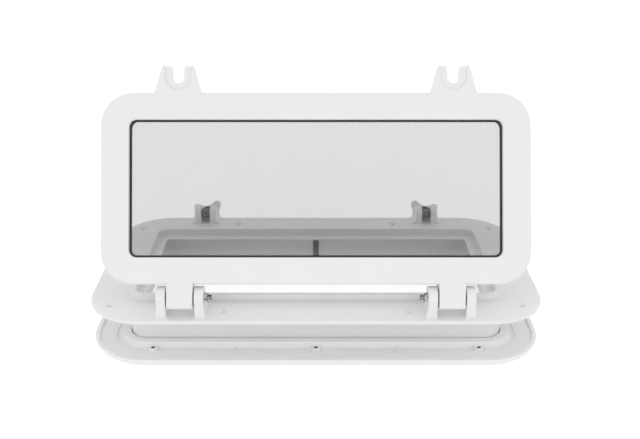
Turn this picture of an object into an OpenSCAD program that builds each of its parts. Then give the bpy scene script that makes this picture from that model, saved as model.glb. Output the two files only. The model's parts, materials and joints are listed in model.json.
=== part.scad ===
// Opening window for a caravan wall. It stands loose, as it comes out of its box: the main frame
// sits in its trim ring on a floor, and the sash is propped open on its two hinges.
// X runs along the window, Y from the hinges to the locks, Z up. The origin is on the floor.

/* [Main frame] */
// Length of the outside flange
flange_w = 438; // [400:1:560]
// Width of the outside flange
flange_d = 230; // [222:1:320]
// Corner radius of the flange
flange_r = 54.5; // [50:0.5:58]
// Thickness of the flange
flange_t = 3.5; // [2.5:0.1:5]
// Depth of the spigot below the flange
spigot_depth = 45.5; // [34:1:60]
// Distance from the flange edge to the outside of the spigot
spigot_inset = 36; // [34:0.5:38]
// Thickness of the spigot wall
spigot_wall = 4; // [2.5:0.1:5]
// Distance from the flange edge to the outside of the weather lip
lip_inset = 39.5; // [38:0.5:42]
// Thickness of the weather lip
lip_wall = 4.5; // [3:0.1:5]
// Height of the weather lip above the flange
lip_h = 5.8; // [4:0.1:6]
// Width of the ledge inside the lip
ledge_w = 9.3; // [8:0.1:16]
// Corner radius of the clear opening
opening_r = 4; // [2:0.5:8]

/* [Flange screws] */
// Distance of the corner screws from the ends of the flange
corner_screw_in_x = 22.5; // [20:0.5:26]
// Distance of the corner screws from the long edges of the flange
corner_screw_in_y = 30; // [27:0.5:34]
// Distance of the inner screws from the hinges, towards the middle
edge_screw_gap = 37.1; // [34:0.1:60]
// Distance of the inner screws from the long edges of the flange
edge_screw_in = 18; // [14:0.5:22]
// Radius of a flange screw hole
flange_hole_r = 2.2; // [1.8:0.1:2.8]
// Radius of the countersink of a flange screw
flange_sink_r = 4.4; // [3.6:0.1:5]

/* [Trim ring] */
// Distance that the trim ring reaches past the flange all round
ring_over = 0.5; // [0:0.1:2]
// Corner radius of the trim ring
ring_r = 57; // [52:0.5:62]
// Height of the rim around the trim ring
ring_rim_h = 6.5; // [5:0.5:9]
// Height of the collar around the spigot
ring_collar_h = 9; // [8:0.5:12]
// Width of the collar
ring_collar_w = 8; // [6:0.5:9]
// Thickness of the ring's face and rim
ring_t = 2.4; // [2:0.1:3]
// Running gap between the spigot and the trim ring
ring_gap = 0.8; // [0.5:0.1:1]
// Distance of the outer bosses from the ends of the flange
ring_boss_in_x = 61.4; // [58:0.1:70]
// Distance of the bosses from the long edges of the flange
ring_boss_in_y = 23.2; // [22:0.1:24]
// Height of the bosses
ring_boss_h = 6; // [5:0.5:8]
// Radius of a ring boss
ring_boss_r = 4.2; // [3.5:0.1:5]
// Radius of the pilot hole in a ring boss
ring_hole_r = 1.6; // [1.2:0.1:2]
// Thickness of the ribs in the ring
ring_rib_t = 1.4; // [1:0.1:2]

/* [Hinges] */
// Distance of each hinge from the ends of the flange
hinge_in_x = 93.4; // [88:0.1:110]
// Distance of the hinge axis from the near edge of the flange
hinge_in_y = 16.2; // [12:0.1:18]
// Height of the hinge axis above the flange
hinge_rise = 16.4; // [16:0.1:20]
// Radius of the round top of a hinge ear
ear_r = 10.3; // [9:0.1:11]
// Thickness of a hinge ear
ear_t = 8.6; // [6:0.1:10]
// Width of the sash knuckle between the ears
knuckle_w = 24; // [18:0.5:30]
// Gap between a knuckle and each ear
knuckle_gap = 1.3; // [0.5:0.1:2]
// Spread of an ear's outer side at its foot
ear_spread = 3.6; // [2:0.1:4]
// Radius of the hinge bolt
hinge_bolt_r = 2.5; // [2:0.1:3]

/* [Sash] */
// Distance of each end of the sash from the end of the flange
sash_in = 20.5; // [16:0.25:30]
// Distance from the far edge of the sash to the lock pivots, when closed
sash_reach = 15.1; // [13:0.1:18]
// Thickness of the sash
sash_t = 20; // [16:0.5:20]
// Distance from the hinge axis to the near edge of the sash
sash_edge = 12.2; // [12:0.1:16]
// Corner radius of the sash
sash_r = 30; // [24:1:34]
// Width of the side rails of the sash
rail_side = 26.25; // [22:0.25:32]
// Width of the long rails of the sash
rail_long = 25; // [22:0.5:28]
// Corner radius of the glass opening
light_r = 7; // [5:0.5:12]
// Angle of the sash as it stands, from closed
open_angle = 64.4; // [30:0.1:90]

/* [Glazing] */
// Thickness of the pane
glass_t = 4; // [3:0.1:5]
// Visible width of the black glazing gasket
gasket_w = 2.6; // [1.5:0.1:4]
// Depth of the rebate for the pane around the glass opening
rebate_w = 5; // [4:0.1:6]
// Depth of the pane below the outside face of the sash
glass_drop = 5; // [3:0.1:6]

/* [Locks] */
// Distance of each lock and fork from the ends of the flange
lock_in_x = 92; // [88:0.1:110]
// Distance of the lock pivots from the far edge of the flange
lock_in_y = 9.5; // [8.5:0.1:10]
// Height of the lock pivots above the flange
lock_rise = 9.1; // [8.8:0.1:9.1]
// Radius of the round top of a lock lug
lug_r = 8.5; // [7:0.1:8.5]
// Thickness of a lock lug
lug_t = 7; // [6:0.1:8.5]
// Gap between the two lugs of a lock
lug_gap = 10; // [9:0.1:11]
// Radius of the lock pin
lock_pin_r = 2.5; // [2:0.1:3]
// Radius of the swing bolt
bolt_r = 3; // [2.5:0.1:3.2]
// Angle that a swing bolt leans back from upright as it rests
bolt_lean = 119; // [116:0.5:120]
// Distance that a loose washer stands off the fork
knob_loose = 4.2; // [4:0.1:5]

/* [Forks] */
// Distance that a fork reaches past the sash
fork_h = 26; // [24:0.5:28]
// Width of a fork at its tips
fork_tip_w = 28.5; // [28:0.5:34]
// Width of a fork at the sash
fork_base_w = 43; // [38:0.5:48]
// Width of the slot in a fork
slot_w = 10.4; // [8.4:0.1:11]
// Thickness of a fork
fork_t = 8.5; // [7:0.1:9]
// Depth of the seat that a fork has for the washer
seat_drop = 2.6; // [1.5:0.1:2.6]
// Radius of the seat
seat_r = 12.2; // [11:0.1:12.4]

/* [Lobe knobs] */
// Radius to the tips of a knob's four lobes
knob_r = 20.8; // [19:0.1:22]
// Radius of a knob at the hollows between its lobes
hollow_r = 11.8; // [11:0.1:13]
// Height of the lobed head of a knob
head_h = 12; // [10:0.5:14]
// Radius of the round collar under the head
collar_r = 10; // [8:0.1:10.5]
// Height of the collar
collar_h = 5; // [4.5:0.1:6]
// Turn of the lobes as they rest
knob_turn = 34.6; // [0:0.1:90]

/* [Hidden] */

$fn = 64;
// Overlap that fuses two shapes of one moulding
fuse = 0.5;
// Radial clearance of a pin in its hole
pin_fit = 0.05;
// Gap between faces that meet when the window is closed
seat_gap = 0.3;
// Gap under a bolt that lies on its rest
rest_gap = 0.15;
// Side clearance of the eye and the pin between and in the lugs
lug_fit = 0.3;

// Bolt head and nut of a hinge, and how far the bolt's end stands out of the nut
hinge_head_r = 4;
head_sink = 1.7;
head_t = 2.4;
head_fit = 0.4;
nut_hex_r = 4.7;
nut_t = 3.4;
bolt_tip = 3.6;

// Rounding of the trim ring's lower edge
ring_edge = 4;
// Counterbore around the pilot hole of a ring boss
ring_sink = 0.8;
ring_sink_w = 0.6;

// Play of the pane in its rebate, and thickness of the gasket's lip over it
pane_play = 1.5;
gasket_lip = 1.8;
// Distance of the seal band and of the bead from the glass opening
bead_inset = 1;
// Solid middle of the sash: how far it lies inside the outside edge
sash_core = 12;

// Drain strip: a flat rubber strip with a rib down its middle
strip_w = 6.5;
strip_t = 1.2;
strip_rib_w = 2;
strip_rib_h = 0.8;
strip_end = 2;

// Knob: length of the bolt in it, and its blind bore
bolt_proud = 9.4;
bore_r = 3.3;
bore_h = 14;
bolt_point = 0.8;

// Rounding of a knob's head: ends of the lobes, hollows, lower and upper edge, and domed top
lobe_r = 4.2;
hollow_cut = 15;
head_low = 1.5;
head_round = 3;
head_dome = 0.8;

// Lug: wall of the eye around the pin, and fillet at the foot
eye_wall = 2.4;
lug_foot = 6.5;

// Rest of a swing bolt: how far it lies inside the flange's edge, and below the flange's top
rest_in = 3.2;
rest_low = 1.5;

// Ear: half width at the foot, height of the spread above the flange, and fillet at the foot
ear_foot = 11;
spread_h = 11.2;
ear_fillet = 1.4;

// Fork: fillet at the root, round outer tips, and the lower, rounded tips beside the slot
fork_root = 0.8;
fork_round = 4.5;
prong_drop = 1.2;
prong_round = 2;
// Room behind a swing bolt in its slot
slot_spare = 0.8;

// Knuckle: how far its square front reaches past the hinge axis, and its edge
knuckle_nose = 10.6;
knuckle_edge = 3;

abs_white = [0.93, 0.935, 0.94];
rubber_black = [0.06, 0.06, 0.065];
steel = [0.68, 0.69, 0.71];
brass = [0.72, 0.62, 0.36];
smoke = [0.55, 0.57, 0.58, 0.4];

flange_top = spigot_depth + flange_t;
hinge_x = flange_w / 2 - hinge_in_x;
lock_x = flange_w / 2 - lock_in_x;
hinge_y = flange_d / 2 - hinge_in_y;
lock_y = flange_d / 2 - lock_in_y;
corner_screw_x = flange_w / 2 - corner_screw_in_x;
corner_screw_y = flange_d / 2 - corner_screw_in_y;
edge_screw_x = hinge_x - edge_screw_gap;
edge_screw_y = flange_d / 2 - edge_screw_in;
ring_boss_x = flange_w / 2 - ring_boss_in_x;
ring_boss_y = flange_d / 2 - ring_boss_in_y;
lip_top = flange_top + lip_h;
hinge_z = flange_top + hinge_rise;
lock_z = flange_top + lock_rise;

// The sash is drawn closed, with its hinge axis on the origin: its width runs along Y
sash_w = flange_w - 2 * sash_in;
sash_d = hinge_y + lock_y - sash_edge - sash_reach;
half_t = sash_t / 2;
sash_mid = sash_edge + sash_d / 2;
light_w = sash_w - 2 * rail_side;
light_d = sash_d - 2 * rail_long;
gasket_top = half_t - glass_drop;
glass_top = gasket_top - gasket_lip;
glass_edge = rebate_w - pane_play;
seal_depth = 2;
seal_play = 0.2;
seal_inset = lip_inset + lip_wall / 2;
seal_w = 8;

ear_x = knuckle_w / 2 + knuckle_gap;
hinge_half = ear_x + ear_t;

eye_r = lock_pin_r + eye_wall;
slot_back = hinge_y + lock_y - slot_spare - (sash_edge + sash_d);
fork_face = hinge_z + half_t - seat_drop - lock_z;
washer_t = 1;
washer_r = collar_r;
knob_seat = fork_face + knob_loose + washer_t;
bolt_end = knob_seat + bolt_proud;
insert_r = 4.4;
insert_h = 9;

// Ledge inside the lip: how far it lies below the flange's top, and its thickness
ledge_drop = 2;
ledge_t = 2;
// How far the ledge is let into the wall of the spigot
ledge_root = 3;

// Where the bar that a swing bolt lies on is, from the pivot, and its radius under the bolt
rest_back = lock_in_y - rest_in;
rest_down = lock_rise + rest_low;
rest_r = rest_down * sin(bolt_lean) + rest_back * cos(bolt_lean) - bolt_r - rest_gap;

// Points along an arc, from angle a0 to a1
function arc(cx, cy, r, a0, a1, steps = 8) =
    [for (i = [0:steps]) let (a = a0 + (a1 - a0) * i / steps) [cx + r * cos(a), cy + r * sin(a)]];

// A rectangle with round corners, centred
module round_rect(w, d, r) {
    square([w, d - 2 * r], center = true);
    square([w - 2 * r, d], center = true);
    for (x = [-1, 1], y = [-1, 1]) translate([x * (w / 2 - r), y * (d / 2 - r)]) circle(r);
}

// A plate with round corners, from z0 to z1
module plate(w, d, r, z0, z1) {
    translate([0, 0, z0]) linear_extrude(z1 - z0) round_rect(w, d, r);
}

// A plate with a round-cornered hole, given by how far each edge lies inside w by d
module plate_ring(w, d, r, outer, inner, z0, z1, inner_r) {
    difference() {
        plate(w - 2 * outer, d - 2 * outer, max(r - outer, 1), z0, z1);
        plate(w - 2 * inner, d - 2 * inner, inner_r, z0 - 1, z1 + 1);
    }
}

// Sweeps a section around a w by d outline with corner radius r: in the section, X is the
// distance from the corner's centre
module sweep_around(w, d, r) {
    run_x = w - 2 * r;
    run_y = d - 2 * r;
    for (k = [0, 180]) rotate(k) {
        translate([-run_x / 2, run_y / 2, 0]) rotate([90, 0, 90]) linear_extrude(run_x) children();
        translate([run_x / 2, run_y / 2, 0]) rotate([90, 0, 0]) linear_extrude(run_y) children();
        translate([run_x / 2, run_y / 2, 0]) rotate_extrude(angle = 90) children();
        translate([-run_x / 2, run_y / 2, 0]) rotate(90) rotate_extrude(angle = 90) children();
    }
}

module at_locks() {
    for (side = [-1, 1]) translate([side * lock_x, lock_y, lock_z]) children();
}

// Turns the sash about its hinge axis, from closed to how it stands
module sash_place() {
    translate([0, -hinge_y, hinge_z]) rotate([open_angle, 0, 0]) children();
}

// Lays a swing bolt, drawn upright from its pivot, back onto its rest
module bolt_place(side) {
    translate([side * lock_x, lock_y, lock_z]) rotate([-bolt_lean, 0, 0]) children();
}

// A cylinder along X, from x0 to x1
module rod_x(r, x0, x1) {
    translate([x0, 0, 0]) rotate([0, 90, 0]) cylinder(h = x1 - x0, r = r);
}

// Section of the flange, the spigot and the weather lip
module frame_section() {
    edge = 2.2;
    lead = 1.5;
    chamfer = 0.8;
    root = 1.5;
    crest = 1;
    lip_out = flange_r - lip_inset;
    lip_in = lip_out - lip_wall;
    spigot_out = flange_r - spigot_inset;
    spigot_in = spigot_out - spigot_wall;
    polygon(concat(
        [[lip_in, spigot_depth], [spigot_in, spigot_depth], [spigot_in, lead]],
        [[spigot_in + 1, 0], [spigot_out - chamfer, 0], [spigot_out, chamfer]],
        [[spigot_out, spigot_depth], [flange_r, spigot_depth]],
        arc(flange_r - edge, flange_top - edge, edge, 0, 90, 4),
        arc(lip_out + root, flange_top + root, root, 270, 180, 3),
        arc(lip_out - crest, lip_top - crest, crest, 0, 90, 3),
        arc(lip_in + crest, lip_top - crest, crest, 90, 180, 3)
    ));
}

// One hinge ear: a round-topped cheek that spreads to its foot, with its inner face on X = 0
module hinge_ear() {
    wide = ear_t + ear_spread;
    intersection() {
        translate([-ear_fillet, 0, 0]) rotate([90, 0, 90]) linear_extrude(wide + 2 * ear_fillet) union() {
            circle(ear_r);
            polygon([
                [-ear_r, 0], [-ear_foot, -hinge_rise - fuse], [ear_foot, -hinge_rise - fuse], [ear_r, 0]
            ]);
        }
        translate([0, ear_foot, 0]) rotate([90, 0, 0]) linear_extrude(2 * ear_foot) polygon([
            [-ear_fillet, -hinge_rise - fuse], [wide + ear_fillet, -hinge_rise - fuse],
            [wide + ear_fillet, -hinge_rise], [wide, -hinge_rise + ear_fillet],
            [ear_t, -hinge_rise + spread_h], [ear_t, ear_r + 1],
            [0, ear_r + 1], [0, -hinge_rise + ear_fillet], [-ear_fillet, -hinge_rise]
        ]);
    }
}

// Both ears of a hinge, with the bolt hole through them and a recess for the bolt head
module hinge_ears(side) {
    reach = hinge_half + ear_spread + 2;
    recess_x = hinge_half - head_sink;
    difference() {
        union() {
            translate([ear_x, 0, 0]) hinge_ear();
            mirror([1, 0, 0]) translate([ear_x, 0, 0]) hinge_ear();
        }
        rod_x(hinge_bolt_r + pin_fit, -reach, reach);
        mirror([side < 0 ? 1 : 0, 0, 0]) rod_x(hinge_head_r + head_fit, recess_x, reach);
    }
}

// One lug of a lock, with its inner face on X = 0
module lock_lug() {
    rotate([90, 0, 90]) linear_extrude(lug_t) union() {
        circle(lug_r);
        translate([-lug_r, -lock_rise - fuse]) square([2 * lug_r, lock_rise + fuse]);
    }
    translate([lug_t, lug_r, -lock_rise]) rotate([90, 0, 0]) linear_extrude(2 * lug_r)
        polygon(concat(
            [[-fuse, -fuse], [lug_foot, -fuse]],
            arc(lug_foot, lug_foot, lug_foot, 270, 180, 5),
            [[-fuse, lug_foot]]
        ));
}

// Both lugs, with the pin hole, and the bar that the swing bolt lies on
module lock_lugs() {
    lug_x = lug_gap / 2;
    reach = lug_x + lug_t + 1;
    difference() {
        union() {
            translate([lug_x, 0, 0]) lock_lug();
            mirror([1, 0, 0]) translate([lug_x, 0, 0]) lock_lug();
            translate([0, rest_back, -rest_down]) rod_x(rest_r, -lug_x - fuse, lug_x + fuse);
        }
        rod_x(lock_pin_r + pin_fit, -reach, reach);
    }
}

module main_frame() {
    color(abs_white) difference() {
        union() {
            sweep_around(flange_w, flange_d, flange_r) frame_section();
            plate_ring(flange_w, flange_d, flange_r, spigot_inset + spigot_wall - ledge_root,
                lip_inset + lip_wall + ledge_w, flange_top - ledge_drop - ledge_t,
                flange_top - ledge_drop, opening_r);
            for (side = [-1, 1]) translate([side * hinge_x, -hinge_y, hinge_z]) hinge_ears(side);
            at_locks() lock_lugs();
        }
        for (x = [-1, 1], y = [-1, 1]) {
            translate([x * corner_screw_x, y * corner_screw_y, flange_top]) flange_screw_hole();
            translate([x * edge_screw_x, y * edge_screw_y, flange_top]) flange_screw_hole();
        }
    }
}

// A countersunk hole, from the top of the flange down
module flange_screw_hole() {
    translate([0, 0, -flange_t - 1]) cylinder(h = flange_t + 2, r = flange_hole_r);
    translate([0, 0, flange_hole_r - flange_sink_r])
        cylinder(h = flange_sink_r - flange_hole_r + 0.01, r1 = flange_hole_r, r2 = flange_sink_r);
}

// Section of the trim ring's edge: the outer part of its face, and the rim
module ring_section() {
    root = 1.2;
    rim_taper = 0.4;
    face_in = ring_r - 10;
    polygon(concat(
        [[face_in, 0]],
        arc(ring_r - ring_edge, ring_edge, ring_edge, 270, 360, 6),
        [[ring_r, ring_rim_h], [ring_r - ring_t + rim_taper, ring_rim_h]],
        arc(ring_r - ring_t - root, ring_t + root, root, 360, 270, 3),
        [[face_in, ring_t]]
    ));
}

// Section of the collar, which follows the outline of the flange
module collar_section() {
    slope = 1.5;
    chamfer = 0.6;
    collar_in = flange_r - spigot_inset + ring_gap;
    collar_out = collar_in + ring_collar_w;
    polygon([
        [collar_in, 0], [collar_out + slope, 0], [collar_out + slope, ring_t],
        [collar_out, ring_collar_h - chamfer], [collar_out - chamfer, ring_collar_h],
        [collar_in + chamfer, ring_collar_h], [collar_in, ring_collar_h - chamfer]
    ]);
}

ring_boss_places = [for (x = [-1, 0, 1], y = [-1, 1]) [x * ring_boss_x, y * ring_boss_y]];
ring_rib_places = [for (x = [-1, 1], y = [-1, 1]) [x * ring_boss_x / 2, y]];

module trim_ring() {
    ring_w = flange_w + 2 * ring_over;
    ring_d = flange_d + 2 * ring_over;
    face_in = spigot_inset - ring_gap - fuse;
    collar_y = flange_d / 2 - spigot_inset + ring_gap + ring_collar_w;
    rib_len = ring_d / 2 - ring_t - collar_y + 2 * fuse;
    rib_h = ring_boss_h - 1;
    gusset_h = ring_boss_h - 1.5;
    gusset = ring_boss_r + 3;
    color(abs_white) difference() {
        union() {
            sweep_around(ring_w, ring_d, ring_r) ring_section();
            sweep_around(flange_w, flange_d, flange_r) collar_section();
            difference() {
                plate(ring_w - 2 * ring_edge, ring_d - 2 * ring_edge, ring_r - ring_edge, 0, ring_t);
                plate(flange_w - 2 * face_in, flange_d - 2 * face_in, flange_r - face_in, -1, ring_t + 1);
            }
            for (p = ring_boss_places) translate([p[0], p[1], 0]) {
                cylinder(h = ring_boss_h, r = ring_boss_r);
                translate([-gusset, -ring_rib_t / 2, 0]) cube([2 * gusset, ring_rib_t, gusset_h]);
                translate([-ring_rib_t / 2, -gusset, 0]) cube([ring_rib_t, 2 * gusset, gusset_h]);
            }
            for (p = ring_rib_places) {
                rib_y = p[1] > 0 ? collar_y - fuse : fuse - collar_y - rib_len;
                translate([p[0] - ring_rib_t / 2, rib_y, 0]) cube([ring_rib_t, rib_len, rib_h]);
            }
        }
        for (p = ring_boss_places) translate([p[0], p[1], 0]) {
            translate([0, 0, -1]) cylinder(h = ring_boss_h + 2, r = ring_hole_r);
            translate([0, 0, ring_boss_h - ring_sink])
                cylinder(h = ring_sink + 1, r = ring_hole_r + ring_sink_w);
        }
    }
}

// Rubber strip down the middle of the far wall, inside the spigot
module drain_strip() {
    wall_y = flange_d / 2 - spigot_inset - spigot_wall;
    strip_h = spigot_depth - 2 * strip_end;
    color(rubber_black) {
        translate([-strip_w / 2, wall_y - strip_t, strip_end]) cube([strip_w, strip_t, strip_h]);
        translate([-strip_rib_w / 2, wall_y - strip_t - strip_rib_h, strip_end])
            cube([strip_rib_w, strip_t, strip_h]);
    }
}

// Steel bolt through both ears, the knuckle and the nut, with its head in the outer ear
module hinge_bolt(side) {
    head_x = hinge_half - head_sink;
    color(steel) translate([side * hinge_x, -hinge_y, hinge_z]) mirror([side < 0 ? 1 : 0, 0, 0]) {
        rod_x(hinge_bolt_r, -hinge_half - nut_t - bolt_tip, head_x + fuse);
        rod_x(hinge_head_r, head_x, head_x + head_t);
    }
}

// Nut on the inner end of a hinge bolt
module hinge_nut(side) {
    color(steel) translate([side * hinge_x, -hinge_y, hinge_z]) mirror([side < 0 ? 1 : 0, 0, 0])
        translate([-hinge_half - nut_t, 0, 0]) difference() {
            rotate([0, 90, 0]) cylinder(h = nut_t, r = nut_hex_r, $fn = 6);
            rod_x(hinge_bolt_r + pin_fit, -1, nut_t + 1);
        }
}

module lock_pin(side) {
    half_len = lug_gap / 2 + lug_t - lug_fit;
    color(steel) translate([side * lock_x, lock_y, lock_z]) rod_x(lock_pin_r, -half_len, half_len);
}

// Section of the sash's outer half: the round outside edge, from the back face to the front
module sash_section() {
    front = 3;
    back = 1.5;
    inner = sash_r - sash_core - fuse;
    polygon(concat(
        [[inner, -half_t]],
        arc(sash_r - back, -half_t + back, back, 270, 360, 3),
        arc(sash_r - front, half_t - front, front, 0, 90, 5),
        [[inner, half_t]]
    ));
}

// One fork, drawn flat: Y upwards from the far edge of the sash, the slot's middle on X = 0
module fork_outline() {
    base = fork_base_w / 2;
    narrowing = (fork_base_w - fork_tip_w) / 2 / fork_h;
    lean = atan(narrowing);
    round_y = fork_h - fork_round;
    round_x = base - round_y * narrowing - fork_round / cos(lean);
    inner_top = fork_h - prong_drop;
    half_slot = slot_w / 2;
    prong = concat(
        [[base + fork_root, -rail_long / 2], [base + fork_root, 0]],
        [[base - fork_root * narrowing, fork_root]],
        arc(round_x, round_y, fork_round, lean, 70, 5),
        [[seat_r, inner_top]],
        arc(half_slot + prong_round, inner_top - prong_round, prong_round, 90, 180, 4)
    );
    last = len(prong) - 1;
    polygon(concat(
        prong,
        arc(0, slot_back, half_slot, 360, 180, 24),
        [for (i = [0:last]) [-prong[last - i][0], prong[last - i][1]]]
    ));
}

module forks() {
    for (side = [-1, 1]) translate([side * lock_x, sash_edge + sash_d, half_t - fork_t]) difference() {
        linear_extrude(fork_t) fork_outline();
        translate([0, slot_back, fork_t - seat_drop]) {
            cylinder(h = seat_drop + 1, r = seat_r);
            translate([-seat_r, 0, 0]) cube([2 * seat_r, fork_h, seat_drop + 1]);
        }
    }
}

// Section of a knuckle, across the hinge axis: round at the back, and square at the front
module knuckle_section() {
    root = sash_edge + 4;
    polygon(concat(
        [[root, -half_t]],
        arc(0, 0, half_t, 270, 180, 16),
        arc(knuckle_edge - knuckle_nose, half_t - knuckle_edge, knuckle_edge, 180, 90, 6),
        [[root, half_t]]
    ));
}

module knuckles() {
    for (side = [-1, 1]) translate([side * hinge_x, 0, 0]) difference() {
        translate([-knuckle_w / 2, 0, 0]) rotate([90, 0, 90]) linear_extrude(knuckle_w) knuckle_section();
        rod_x(hinge_bolt_r + pin_fit, -knuckle_w, knuckle_w);
    }
}

module sash_frame() {
    color(abs_white) sash_place() difference() {
        union() {
            translate([0, sash_mid, 0]) {
                sweep_around(sash_w, sash_d, sash_r) sash_section();
                plate(sash_w - 2 * sash_core, sash_d - 2 * sash_core, sash_r - sash_core,
                    -half_t, half_t);
            }
            forks();
            knuckles();
        }
        translate([0, sash_mid, 0]) {
            plate(light_w, light_d, light_r, -half_t - 1, half_t + 1);
            plate(light_w + 2 * rebate_w, light_d + 2 * rebate_w, light_r + rebate_w,
                -half_t - 1, gasket_top);
        }
        seal_band(-half_t - 1, -half_t + seal_depth, seal_play);
    }
}

// The band on the back of the sash that meets the weather lip, around the pane's opening
module seal_band(z0, z1, spare) {
    w = flange_w - 2 * seal_inset + seal_w + 2 * spare;
    d = flange_d - 2 * seal_inset + seal_w + 2 * spare;
    difference() {
        translate([0, hinge_y, 0]) plate(w, d, flange_r - seal_inset + seal_w / 2, z0, z1);
        translate([0, sash_mid, 0])
            plate(light_w + 2 * bead_inset, light_d + 2 * bead_inset, light_r + bead_inset,
                z0 - 1, z1 + 1);
    }
}

module sash_seal() {
    lift = hinge_z - half_t - lip_top - seat_gap;
    color(rubber_black) sash_place() seal_band(-half_t - lift, -half_t + seal_depth, 0);
}

module glass_pane() {
    color(smoke) sash_place() translate([0, sash_mid, 0])
        plate(light_w + 2 * glass_edge, light_d + 2 * glass_edge, light_r + glass_edge,
            glass_top - glass_t, glass_top);
}

module glazing_gasket() {
    color(rubber_black) sash_place() translate([0, sash_mid, 0]) difference() {
        plate(light_w + 2 * rebate_w, light_d + 2 * rebate_w, light_r + rebate_w,
            glass_top - glass_t, gasket_top);
        plate(light_w - 2 * gasket_w, light_d - 2 * gasket_w, light_r, -half_t, half_t);
        plate(light_w + 2 * glass_edge, light_d + 2 * glass_edge, light_r + glass_edge,
            glass_top - glass_t - 1, glass_top);
    }
}

module glazing_bead() {
    color(abs_white) sash_place() translate([0, sash_mid, 0]) difference() {
        plate(light_w + 2 * rebate_w, light_d + 2 * rebate_w, light_r + rebate_w,
            -half_t + seal_depth, glass_top - glass_t);
        plate(light_w + 2 * bead_inset, light_d + 2 * bead_inset, light_r + bead_inset, -half_t, half_t);
    }
}

// Steel eye bolt, drawn upright from its pivot
module swing_bolt(side) {
    eye_x = lug_gap / 2 - lug_fit;
    color(steel) bolt_place(side) difference() {
        union() {
            rod_x(eye_r, -eye_x, eye_x);
            cylinder(h = bolt_end - bolt_point, r = bolt_r);
            translate([0, 0, bolt_end - bolt_point])
                cylinder(h = bolt_point, r1 = bolt_r, r2 = bolt_r - bolt_point);
        }
        rod_x(lock_pin_r + pin_fit, -lug_gap, lug_gap);
    }
}

module bolt_washer(side) {
    color(steel) bolt_place(side) translate([0, 0, knob_seat - washer_t]) difference() {
        cylinder(h = washer_t, r = washer_r);
        translate([0, 0, -1]) cylinder(h = washer_t + 2, r = bolt_r + pin_fit);
    }
}

// Outline of a knob's head: a disc with four hollows, and a round end on each lobe
module lobe_outline() {
    lobe_at = knob_r - lobe_r;
    difference() {
        circle(lobe_at + lobe_r / 2);
        for (k = [0:3]) rotate(45 + 90 * k) translate([hollow_r + hollow_cut, 0]) circle(hollow_cut);
    }
    for (k = [0:3]) rotate(90 * k) translate([lobe_at, 0]) circle(lobe_r);
}

// Half section of the round body that rounds the lobes' lower and upper edges
module head_section() {
    polygon(concat(
        [[0, 0]],
        arc(knob_r - head_low, head_low, head_low, 270, 360, 4),
        arc(knob_r - head_round, head_h - head_round, head_round, 0, 80, 6),
        [[0, head_h + head_dome]]
    ));
}

module lobe_knob(side) {
    color(abs_white) bolt_place(side) translate([0, 0, knob_seat]) difference() {
        union() {
            cylinder(h = collar_h + fuse, r = collar_r);
            translate([0, 0, collar_h]) rotate(-side * knob_turn) intersection() {
                linear_extrude(head_h + head_dome + 1) lobe_outline();
                rotate_extrude() head_section();
            }
        }
        translate([0, 0, -1]) cylinder(h = insert_h + 1, r = insert_r);
        translate([0, 0, -1]) cylinder(h = bore_h + 1, r = bore_r);
    }
}

module knob_insert(side) {
    color(brass) bolt_place(side) translate([0, 0, knob_seat]) difference() {
        cylinder(h = insert_h, r = insert_r);
        translate([0, 0, -1]) cylinder(h = insert_h + 2, r = bolt_r + pin_fit);
    }
}

main_frame();
trim_ring();
drain_strip();
hinge_bolt(-1);  // hinge_bolt_left
hinge_bolt(1);  // hinge_bolt_right
hinge_nut(-1);  // hinge_nut_left
hinge_nut(1);  // hinge_nut_right
lock_pin(-1);  // lock_pin_left
lock_pin(1);  // lock_pin_right
sash_frame();
glass_pane();
glazing_gasket();
glazing_bead();
sash_seal();
swing_bolt(-1);  // swing_bolt_left
swing_bolt(1);  // swing_bolt_right
bolt_washer(-1);  // bolt_washer_left
bolt_washer(1);  // bolt_washer_right
lobe_knob(-1);  // lobe_knob_left
lobe_knob(1);  // lobe_knob_right
knob_insert(-1);  // knob_insert_left
knob_insert(1);  // knob_insert_right
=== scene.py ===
"""Looks of an opening caravan window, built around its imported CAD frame.

Each sub-assembly is a class that keeps its sizes in metres and makes, finishes and fastens its own
pieces. The sash and the swing bolts are drawn in their own place first, upright or closed, and then
laid where their joint says that they stand.
"""

import json
import logging
import math
from collections.abc import Callable, Sequence
from dataclasses import dataclass
from enum import Enum
from typing import Any, ClassVar

import bmesh
import bpy
import numpy as np
from mathutils import Matrix, Vector
from mathutils.bvhtree import BVHTree


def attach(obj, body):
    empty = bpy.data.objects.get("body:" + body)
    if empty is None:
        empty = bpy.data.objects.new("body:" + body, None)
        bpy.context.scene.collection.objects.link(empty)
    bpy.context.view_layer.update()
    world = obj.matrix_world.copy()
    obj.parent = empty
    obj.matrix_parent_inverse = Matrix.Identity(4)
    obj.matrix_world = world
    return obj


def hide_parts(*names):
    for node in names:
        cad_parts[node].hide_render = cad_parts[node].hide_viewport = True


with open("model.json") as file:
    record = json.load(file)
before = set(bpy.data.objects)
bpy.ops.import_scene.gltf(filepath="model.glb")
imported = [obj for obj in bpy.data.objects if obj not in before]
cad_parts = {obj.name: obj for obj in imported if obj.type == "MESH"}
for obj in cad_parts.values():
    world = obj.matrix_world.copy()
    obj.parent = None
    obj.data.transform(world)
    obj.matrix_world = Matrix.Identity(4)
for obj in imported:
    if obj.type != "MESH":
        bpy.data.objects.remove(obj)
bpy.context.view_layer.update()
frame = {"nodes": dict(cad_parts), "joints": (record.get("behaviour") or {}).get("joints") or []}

logging.basicConfig(level=logging.INFO, format="%(levelname)s %(message)s")
log = logging.getLogger("caravan_window")

Pair = tuple[float, float]
Triple = tuple[float, float, float]
Socket = bpy.types.NodeSocket
Tone = Sequence[float] | Socket
Shaper = Callable[[np.ndarray], np.ndarray]

WHITE = (1.0, 1.0, 1.0, 1.0)
# The play of a bore around its pin, and a cut or margin too small to see, both in metres
PLAY = 0.00005
HAIR = 0.0001
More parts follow.
